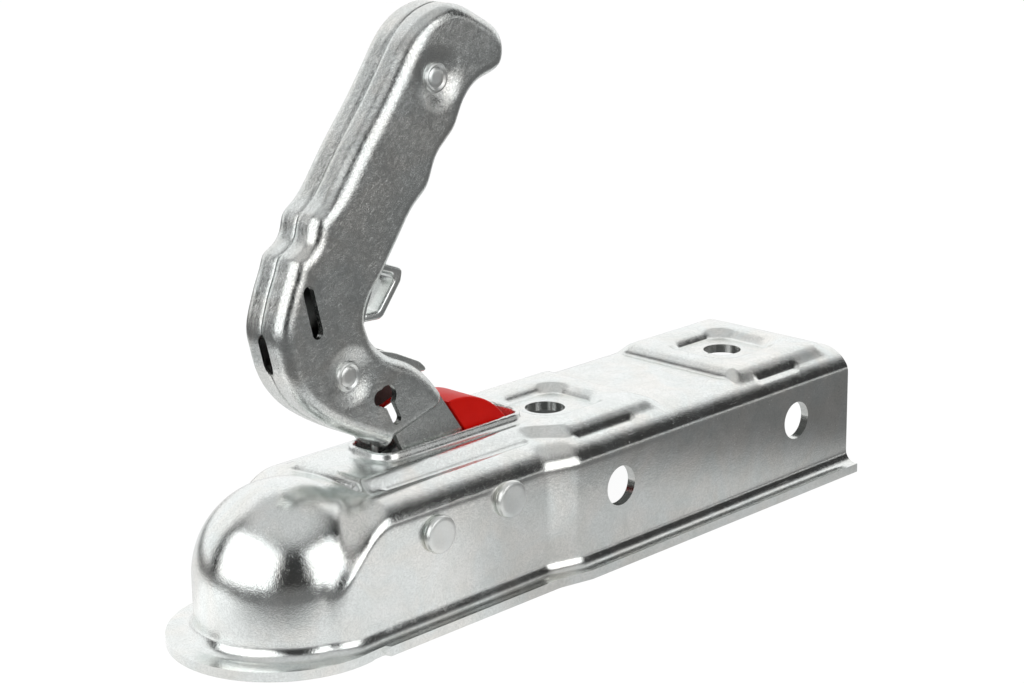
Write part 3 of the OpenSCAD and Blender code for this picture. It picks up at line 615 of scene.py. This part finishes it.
lip_path = round_box_points(*SLOT, 12)
lengths = np.concatenate([[0], np.cumsum(np.linalg.norm(np.roll(lip_path, -1, axis=0) - lip_path, axis=1))])
stations = np.linspace(0, lengths[-1], 300, endpoint=False)
closed = np.concatenate([lip_path, lip_path[:1]])
lip_path = np.stack([np.interp(stations, lengths, closed[:, k]) for k in range(2)], axis=1)
lip_profile = np.array([[0, 23.6], [0, 26.0], [0, 28.9], [0.12, 29.45], [0.45, 29.8], [0.95, 29.8],
                        [1.32, 29.55], [1.5, 29.1], [1.55, 28.3], [1.75, 27.85], [2.2, 27.5], [2.9, 27.3], [3.6, 27.1],
                        [3.6, 25.0], [0, 23.6]])
lip = swept_ring(lip_path, lip_profile)
torn = 0.10 * np.sin(stations * 2.3) * np.sin(stations * 0.71 + 1) + 0.07 * np.sin(stations * 5.1 + 2)
lip[:, 4:7, 2] += np.minimum(torn, 0.0)[:, None]
collar = piece("collar", [quads(np.concatenate([lip, lip[:1]])[:, ::-1])],
               plated("collar zinc", grain=1.0, crystals=0.3, dents=0.3, roughness=0.26))
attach(collar, "base")

# Cross pins: two 10 mm steel pins through the housing, on which the jaw and the handle turn. Their
# heads are pressed round and smooth, with a narrow neck against the wall.


def turned_pieces(at, half_profile, count=64):
    """Grid of a turned part about a line along Y: profile (radius, y), mirrored to the other end."""
    profile = np.concatenate([half_profile, (half_profile * [1, -1])[::-1]])
    angle = np.linspace(0, 2 * np.pi, count + 1)[:, None]
    radius, y = profile[:, 0], profile[:, 1]
    x = at[0] + radius * np.cos(angle)
    z = at[1] + radius * np.sin(angle)
    return np.stack([x, np.broadcast_to(y, x.shape), z], axis=-1)


PINS = {"jaw_pin": (33.0, 10.0), "handle_pin": (63.0, 13.0)}
HEAD_SMOOTH_ANGLE = 30.0
pin_profile = np.array([[0.0, 31.78], [2.2, 31.84], [4.2, 31.95], [5.0, 31.95], [5.5, 31.75], [5.82, 31.3],
                        [5.9, 30.8], [5.88, 30.3], [5.6, 30.0], [5.25, 29.85], [5.2, 29.4], [4.97, 29.2],
                        [4.97, 0.0]])
pin_zinc = plated("pin steel", grain=0.5, crystals=0.25, dents=0.5, roughness=0.34)
for name, at in PINS.items():
    pin = piece("cross_" + name, [quads(turned_pieces(at, pin_profile))], pin_zinc, HEAD_SMOOTH_ANGLE)
    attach(pin, "base")
    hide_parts(name)

# Inner parts: the cast jaw that clamps the ball, its spacers and springs, the cam lever on the
# handle's pin and the dowels through it. They are plain or dull-plated steel, seen from below; the
# steel ones take the dark inner material, whose dark tone is painted shade.
spring_wire = plated("spring wire", grain=0.4, crystals=0.1, dents=0.0, roughness=0.3)
steel_nodes = ("jaw", "jaw_spacers", "handle_spacers", "cam_lever", "lever_dowel", "indicator_pin",
               "upper_spacer", "lower_spacer")
wire_nodes = ("jaw_spring", "closing_springs", "catch_spring")
for nodes, metal in ((steel_nodes, inner_steel_painted_shade), (wire_nodes, spring_wire)):
    for node in nodes:
        for material_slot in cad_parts[node].material_slots:
            material_slot.material = metal

# Handle: two pressed shells of 2 mm steel, left and right, that meet in a seam along the back and
# the grip. Each is dished for its rivets and narrows to a flat foot that goes down to its pin.
HANDLE_HALF = 9.4
EDGE_R = 4.1
FOOT_HALF = 7.7
SHELL_SHEET = 2.0
DIMPLE_R, DIMPLE_FLAT_R, DIMPLE_DEPTH = 10.5, 3.0, 1.3
SEAM_SLOT_Z, SEAM_SLOT_RUN, SEAM_SLOT_HALF = 67.0, 6.3, 1.9
WIDER_BACK = 0.3
OPEN_BELOW_Z = 88.0
HANDLE_PIN = np.array([63.0, 13.0])
UPPER_RIVET = np.array([56.9, 139.8])
LOWER_RIVET = np.array([19.0, 57.1])
BACK = np.array([
    (64.2, 160.5), (59.9, 159.9), (55.8, 158.5), (51.4, 156.0), (46.5, 151.5), (42.7, 146.2), (39.0, 141.0),
    (34.0, 134.4), (28.5, 127.7), (23.3, 121.1), (16.9, 112.4), (12.9, 108.3), (9.9, 105.9), (8.5, 102.9),
    (7.7, 100.0), (5.3, 97.2), (1.7, 94.9), (0.0, 91.2), (-2.1, 86.5), (-4.3, 80.9), (-5.8, 75.8),
    (-6.0, 72.0), (-5.1, 67.7), (-3.5, 61.6), (-0.5, 55.4), (4.6, 49.3), (10.8, 44.4), (16.9, 40.6),
    (25.2, 36.2), (33.4, 32.3)])
FINGERS = np.array([
    (64.2, 160.5), (70.9, 158.8), (76.9, 155.5), (85.2, 148.4), (84.6, 140.0), (75.6, 136.3), (68.0, 129.2),
    (64.9, 123.4), (57.4, 116.0), (53.2, 107.4), (48.0, 102.8), (42.0, 95.3), (38.3, 90.3), (34.1, 84.6),
    (32.3, 82.4), (30.4, 80.3), (28.9, 78.4), (28.2, 76.9), (27.5, 75.4), (27.1, 73.8), (26.9, 72.4),
    (27.1, 70.7), (27.7, 69.0), (28.7, 66.4), (30.7, 63.9), (33.6, 61.2), (37.6, 58.7), (41.8, 56.8),
    (49.6, 51.7), (56.6, 43.9)])


def smooth_through(knots, points, at):
    """Natural cubic spline through points at the knots, read at the values `at`.

    Second derivatives come from the usual tridiagonal equations, with none at the two ends.
    """
    h = np.diff(knots)
    n = len(knots)
    system = np.eye(n)
    inner = np.arange(1, n - 1)
    system[inner, inner - 1], system[inner, inner + 1] = h[:-1], h[1:]
    system[inner, inner] = 2 * (h[:-1] + h[1:])
    rise = np.diff(points, axis=0) / h[:, None]
    load = np.zeros_like(points)
    load[1:-1] = 6 * np.diff(rise, axis=0)
    bend = np.linalg.solve(system, load)
    k = np.clip(np.searchsorted(knots, at, side="right") - 1, 0, n - 2)
    t, w = (at - knots[k])[:, None], h[k][:, None]
    return (points[k] * (w - t) / w + points[k + 1] * t / w
            + bend[k] / 6 * ((w - t) ** 3 / w - w * (w - t)) + bend[k + 1] / 6 * (t ** 3 / w - w * t))


def across_run(run):
    """Unit normals on the left of these directions, which is the inner side of the outline."""
    run = run / np.maximum(np.linalg.norm(run, axis=1, keepdims=True), 1e-9)
    return np.stack([-run[:, 1], run[:, 0]], axis=1)


# Both outlines are one spline through the handle's tip. The grid's rows run from the tip to the foot
# and its columns from the back's seam over the rim and the flat side to the finger seam
back_knots = np.concatenate([[0], np.cumsum(np.linalg.norm(np.diff(BACK, axis=0), axis=1))])
finger_knots = np.concatenate([[0], np.cumsum(np.linalg.norm(np.diff(FINGERS, axis=0), axis=1))])
whole_knots = np.concatenate([-finger_knots[:0:-1], back_knots])
whole_line = np.concatenate([FINGERS[:0:-1], BACK])
along_knots = np.linspace(0, 1, 260) ** 1.08 * (len(BACK) - 1)
at_back = smooth_through(np.arange(len(BACK)), back_knots[:, None], along_knots)[:, 0]
at_fingers = -smooth_through(np.arange(len(BACK)), finger_knots[:, None], along_knots)[:, 0]
back_line = smooth_through(whole_knots, whole_line, at_back)
finger_line = smooth_through(whole_knots, whole_line, at_fingers)
ahead = smooth_through(whole_knots, whole_line, np.minimum(at_back + 0.05, back_knots[-1]))
behind = smooth_through(whole_knots, whole_line, at_back - 0.05)
in_from_back = across_run(ahead - behind)
ahead = smooth_through(whole_knots, whole_line, at_fingers + 0.05)
behind = smooth_through(whole_knots, whole_line, np.maximum(at_fingers - 0.05, -finger_knots[-1]))
in_from_fingers = across_run(ahead - behind)
bevel = np.linspace(0, np.pi / 2, 8)
strip = np.array([0.0, 0.14, 0.4, 0.9, 1.8, 3.2, 4.4])
dip = np.array([0.75, 0.45, 0.12, 0.0, 0.0, 0.0, 0.0])
rim_y = np.concatenate([strip, HANDLE_HALF - EDGE_R + EDGE_R * np.sin(bevel)])
rim_in = np.concatenate([dip, EDGE_R * (1 - np.cos(bevel))])
upper_back = step(103.0, 116.0, back_line[:, 1]) * step(160.0, 150.0, back_line[:, 1])
wider = 1 + WIDER_BACK * upper_back[:, None, None] * ((rim_in > 0) & (rim_y > 1))[None, :, None]
from_back = back_line[:, None] + in_from_back[:, None] * rim_in[None, :, None] * wider
from_fingers = finger_line[:, None] + in_from_fingers[:, None] * rim_in[None, ::-1, None]
share = np.linspace(0, 1, 34)[1:-1][None, :, None]
between = from_back[:, -1:] * (1 - share) + from_fingers[:, :1] * share
plan = np.concatenate([from_back, between, from_fingers], axis=1)
outer_y = np.concatenate([rim_y, np.full(share.shape[1], HANDLE_HALF), rim_y[::-1]])
side_y = np.broadcast_to(outer_y, plan.shape[:2]).copy()
fade = (rim_in * (rim_y > 1) / EDGE_R) ** 2
flat_part = np.concatenate([fade, np.ones(share.shape[1]), fade[::-1]])
for rivet_at in (UPPER_RIVET, LOWER_RIVET):
    distance = np.linalg.norm(plan - rivet_at, axis=2)
    side_y -= DIMPLE_DEPTH * step(DIMPLE_R, DIMPLE_FLAT_R, distance) * flat_part
along_slot = np.abs((back_line[:, 1] - SEAM_SLOT_Z) / SEAM_SLOT_RUN)
slot_run = np.clip(1 - along_slot ** 5, 0.0, 1.0)[:, None]
slot_half = SEAM_SLOT_HALF * np.sqrt(slot_run) * (back_line[:, :1] < 0)
side_y[:, :6] = np.maximum(side_y[:, :6], slot_half)
ending = np.array([[0.5, 0.07], [0.95, 0.28], [1.35, 0.62], [1.65, 1.1], [1.8, 1.75]])
foot_way = np.array([0.408, -0.913])
last_plan = plan[-1][None] + ending[:, :1, None] * foot_way
last_y = np.maximum(side_y[-1][None] - ending[:, 1:] * step(4.0, 9.0, side_y[-1])[None], 0.0)
plan = np.concatenate([plan, last_plan])
side_y = np.concatenate([side_y, last_y])
first_return = len(rim_y) + share.shape[1] + len(bevel)
first_open_row = int(np.argmax(plan[:, -1, 1] < OPEN_BELOW_Z))
LEFT_CHEEK = np.array([(37.6, 34.6), (41.0, 27.5), (46.5, 19.0), (50.6, 13.0), (51.6, 8.0), (56.5, 2.6),
                       (62.5, 1.0)])
RIGHT_CHEEK = np.array([(55.4, 43.9), (60.0, 37.4), (65.6, 29.4), (72.0, 20.5), (74.9, 13.5), (71.5, 4.5),
                        (62.5, 1.0)])


def handle_shell(sign):
    """Parts of one shell: the pan, with its finger side left open near the foot, and the foot's cheek."""
    pan = np.stack([plan[..., 0], sign * side_y, plan[..., 1]], axis=-1)
    upper_pan, lower_pan = pan[:first_open_row + 1], pan[first_open_row:, :first_return + 1]
    u, v = np.linspace(0, 1, 40)[:, None], np.linspace(0, 1, 24)
    marks = np.linspace(0, 1, len(LEFT_CHEEK))
    one = smooth_through(marks, LEFT_CHEEK, u[:, 0])
    other = smooth_through(marks, RIGHT_CHEEK, u[:, 0])
    cheek = one[:, None] * (1 - v[None, :, None]) + other[:, None] * v[None, :, None]
    cheek = np.stack([cheek[..., 0], np.full(cheek.shape[:2], sign * FOOT_HALF), cheek[..., 1]], axis=-1)
    grids = [upper_pan, lower_pan, cheek]
    if sign > 0:
        grids = [grid[:, ::-1] for grid in grids]
    return [quads(grid) for grid in grids]


def slot_points(a, b, half):
    """Outline of a slot with round ends between the points a and b."""
    a, b = np.array(a, float), np.array(b, float)
    heading = math.atan2(*(b - a)[::-1])
    turn = np.linspace(-np.pi / 2, np.pi / 2, 9)
    ends = [centre + half * np.stack([np.cos(turn + start), np.sin(turn + start)], axis=1)
            for centre, start in ((b, heading), (a, heading + np.pi))]
    return np.concatenate(ends)


handle_zinc = plated("handle zinc", grain=1.1, crystals=1.2, dents=0.8, roughness=0.17, tone=0.9)
keyhole = [ring_points(33.2, 47.9, 3.6, 28), ring_points(30.4, 48.0, 2.6, 24),
           slot_points((33.6, 46.6), (36.7, 40.2), 1.8)]
side_slot = slot_points((4.1, 85.3), (7.0, 73.0), 2.0)
for name, sign in (("handle_left", -1.0), ("handle_right", 1.0)):
    half = piece("shell_" + name, handle_shell(sign), handle_zinc)
    tool = bmesh.new()
    tool.from_mesh(half.data)
    bmesh.ops.remove_doubles(tool, verts=tool.verts, dist=2e-6)
    tool.to_mesh(half.data)
    tool.free()
    give_thickness(half, SHELL_SHEET, inner_steel_painted_shade)
    settle(half)
    inside, outside = sorted((sign * 4.0, sign * 14.0))
    for window in keyhole + [side_slot]:
        cut_out(half, [outline_prism(window, "y", inside, outside)], "window")
    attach(half, "handle")
    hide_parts(name)

# Rivets: two steel rivets clench the shells together over spacers. Each head is a low button with
# a rim, sunk in its dimple.
rivet_profile = np.array([[0.0, 8.72], [1.6, 8.74], [2.7, 8.7], [3.05, 8.5], [3.3, 8.62], [3.8, 8.95],
                          [4.3, 8.85], [4.6, 8.4], [4.6, 7.7], [4.4, 7.4], [2.5, 7.2], [2.5, 0.0]])
rivet_steel = plated("rivet steel", grain=0.6, crystals=0.3, dents=0.4, roughness=0.33)
for name, at in (("upper_rivet", UPPER_RIVET), ("lower_rivet", LOWER_RIVET)):
    rivet = piece("clenched_" + name, [quads(turned_pieces(at, rivet_profile, 48))], rivet_steel,
                  HEAD_SMOOTH_ANGLE)
    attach(rivet, "handle")
    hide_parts(name)

# Wear indicator: a moulded red plastic sector behind the foot. Its round top stands out of the
# opening; it is smooth, with a small radius on its edges and a fine moulded grain.


def slab(outline, half, radius, offset=0.0, steps=5):
    """Closed solid: an outline in the XZ plane, half to each side of the offset, edges rounded.

    Each ring is the outline moved inwards by r(1 - cos t) at y = half - r(1 - sin t).
    """
    run = np.roll(outline, -1, axis=0) - np.roll(outline, 1, axis=0)
    run /= np.linalg.norm(run, axis=1, keepdims=True)
    inside = np.stack([-run[:, 1], run[:, 0]], axis=1)
    t = np.linspace(np.pi / 2, 0, steps)
    inset = radius * (1 - np.cos(t))
    level = half - radius * (1 - np.sin(t))
    inset, level = np.concatenate([inset, inset[::-1]]), np.concatenate([level, -level[::-1]])
    rings = outline[None] + inside[None] * inset[:, None, None]
    y = np.broadcast_to(level[:, None] + offset, rings.shape[:2])
    points = np.stack([rings[..., 0], y, rings[..., 1]], axis=-1)
    count = len(outline)
    index = np.arange(points.shape[0] * count).reshape(-1, count)
    along = np.roll(index, -1, axis=1)
    sides = np.stack([index[:-1], index[1:], along[1:], along[:-1]], axis=-1).reshape(-1, 4)
    caps = [index[0].tolist(), index[-1][::-1].tolist()]
    return points.reshape(-1, 3) / 1000, sides, caps


def even_outline(corners, radius, count):
    """Closed outline at even spacing, anticlockwise: the corners, each cut by a curve from its radius.

    The curve is (1-t)^2 a + 2t(1-t) b + t^2 c, with b the corner and a, c on its two edges.
    """
    corners, radius = np.array(corners, float), np.array(radius, float)
    to_last = np.roll(corners, 1, axis=0) - corners
    to_next = np.roll(corners, -1, axis=0) - corners
    to_last /= np.linalg.norm(to_last, axis=1, keepdims=True)
    to_next /= np.linalg.norm(to_next, axis=1, keepdims=True)
    half = np.arccos(np.clip((to_last * to_next).sum(axis=1), -1, 1)) / 2
    reach = (radius / np.tan(half))[:, None]
    t = np.linspace(0, 1, 12)[None, :, None]
    a, b, c = (corners + to_last * reach)[:, None], corners[:, None], (corners + to_next * reach)[:, None]
    arc = (1 - t) ** 2 * a + 2 * t * (1 - t) * b + t * t * c
    loop = arc.reshape(-1, 2)
    loop = np.concatenate([loop, loop[:1]])
    length = np.concatenate([[0], np.cumsum(np.linalg.norm(np.diff(loop, axis=0), axis=1))])
    at = np.linspace(0, length[-1], count, endpoint=False)
    return np.stack([np.interp(at, length, loop[:, k]) for k in range(2)], axis=1)


def moulded_red():
    """Satin signal-red plastic: even colour with faint flow marks and a fine grain."""
    material = bpy.data.materials.new("red plastic")
    material.use_nodes = True
    tree = material.node_tree
    shader = tree.nodes["Principled BSDF"]
    where = tree.nodes.new("ShaderNodeTexCoord").outputs["Object"]
    flow = add(tree, "ShaderNodeTexNoise", inputs={"Vector": where, "Scale": 90.0, "Detail": 3.0})
    flow = flow.outputs["Fac"]
    tint = add(tree, "ShaderNodeValToRGB", inputs={"Fac": flow})
    tint.color_ramp.elements[0].position, tint.color_ramp.elements[0].color = 0.3, (0.80, 0.006, 0.003, 1.0)
    tint.color_ramp.elements[1].position, tint.color_ramp.elements[1].color = 0.7, (0.92, 0.010, 0.004, 1.0)
    shader.inputs["Specular IOR Level"].default_value = 0.16
    tree.links.new(tint.outputs["Color"], shader.inputs["Base Color"])
    tree.links.new(plus(tree, times(tree, flow, 0.16), 0.30), shader.inputs["Roughness"])
    grain = add(tree, "ShaderNodeTexNoise", inputs={"Vector": where, "Scale": 3000.0, "Detail": 1.0})
    bump = add(tree, "ShaderNodeBump", inputs={"Strength": 1.0, "Distance": 0.000006,
                                               "Height": grain.outputs["Fac"]})
    tree.links.new(bump.outputs["Normal"], shader.inputs["Normal"])
    return material


SECTOR_R = 27.0
SECTOR_HALF = 7.8
SECTOR_START = 25.0
SECTOR_LOW_R = 13.0
NEAR_EDGE = 12.1
TONGUE_HALF = 5.3
slope = math.radians(34.3)
edge_normal = np.array([math.cos(slope), math.sin(slope)])
edge_run = np.array([-edge_normal[1], edge_normal[0]])
top = HANDLE_PIN + edge_normal * NEAR_EDGE + edge_run * math.sqrt(SECTOR_R ** 2 - NEAR_EDGE ** 2)
bottom = HANDLE_PIN + edge_normal * NEAR_EDGE + edge_run * (-2.0)
start = math.radians(SECTOR_START)
low_start = HANDLE_PIN + np.array([math.cos(start), math.sin(start)]) * SECTOR_LOW_R
angle_top = math.degrees(math.atan2(*(top - HANDLE_PIN)[::-1]))
sweep_angle = np.radians(np.linspace(SECTOR_START, angle_top, 60))
arc = HANDLE_PIN + SECTOR_R * np.stack([np.cos(sweep_angle), np.sin(sweep_angle)], axis=1)
edge_down = top + (bottom - top) * np.linspace(0, 1, 24)[1:, None]
close_up = low_start + (arc[0] - low_start) * np.linspace(0, 1, 14)[:-1, None]
sector = np.concatenate([arc, edge_down, close_up])
tongue = even_outline(HANDLE_PIN + np.array([(-4, 11.5), (-6, 19), (-2, 25), (14, 16), (10.5, 10.5)])[::-1],
                      [1.0, 1.0, 2.0, 2.0, 0.8], 80)
indicator = piece("red_indicator", [slab(sector, SECTOR_HALF, 0.6), slab(tongue, TONGUE_HALF, 0.4)],
                  moulded_red())
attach(indicator, "handle")
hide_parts("wear_indicator")

# Safety catch: a pressed channel of 2 mm zinc-plated steel on the lower rivet. Its tab comes out of
# the handle's finger side for the finger that frees the handle, and curls back to it.
CATCH_HALF = 5.3
ARM_HALF = 1.0
catch_zinc = plated("catch zinc", grain=1.0, crystals=0.4, dents=0.8, roughness=0.2)
arm = even_outline(HANDLE_PIN + np.array([
    (-50, 40), (-50, 49), (-40, 57), (-33.5, 74), (-28, 72.5), (-33, 62), (-35.5, 54), (-30, 48.5),
    (-22, 45.8), (-12.5, 41.2), (-8.4, 37.2), (-16, 38.6), (-38, 38.6)])[::-1],
    [6, 2, 1.2, 4, 6, 3, 3, 3, 1.5, 2, 6, 4, 3], 150)
neck = even_outline(HANDLE_PIN + np.array([(-38.9, 60), (-33.6, 73.6), (-28.2, 72.4), (-33.6, 60)])[::-1],
                    [0.5] * 4, 40)
tab = even_outline(HANDLE_PIN + np.array([
    (-31, 73.4), (-26.3, 74.4), (-18.3, 71.2), (-19.2, 67.4), (-27.2, 57.4), (-34.5, 57.8), (-34, 60.2),
    (-28.6, 60.1), (-22, 68.3), (-22.6, 70.3), (-26.6, 71.8), (-30.6, 70.8)])[::-1],
    [0.8, 1.4, 1.2, 1.6, 1.6, 0.8, 1, 3.5, 3, 2.2, 3, 0.8], 150)
catch_parts = [slab(arm, ARM_HALF, 0.3, -CATCH_HALF + ARM_HALF),
               slab(arm, ARM_HALF, 0.3, CATCH_HALF - ARM_HALF),
               slab(neck, CATCH_HALF - 1.5, 0.3), slab(tab, CATCH_HALF, 0.7)]
catch = piece("pressed_safety_catch", catch_parts, catch_zinc)
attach(catch, "catch")
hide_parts("safety_catch")
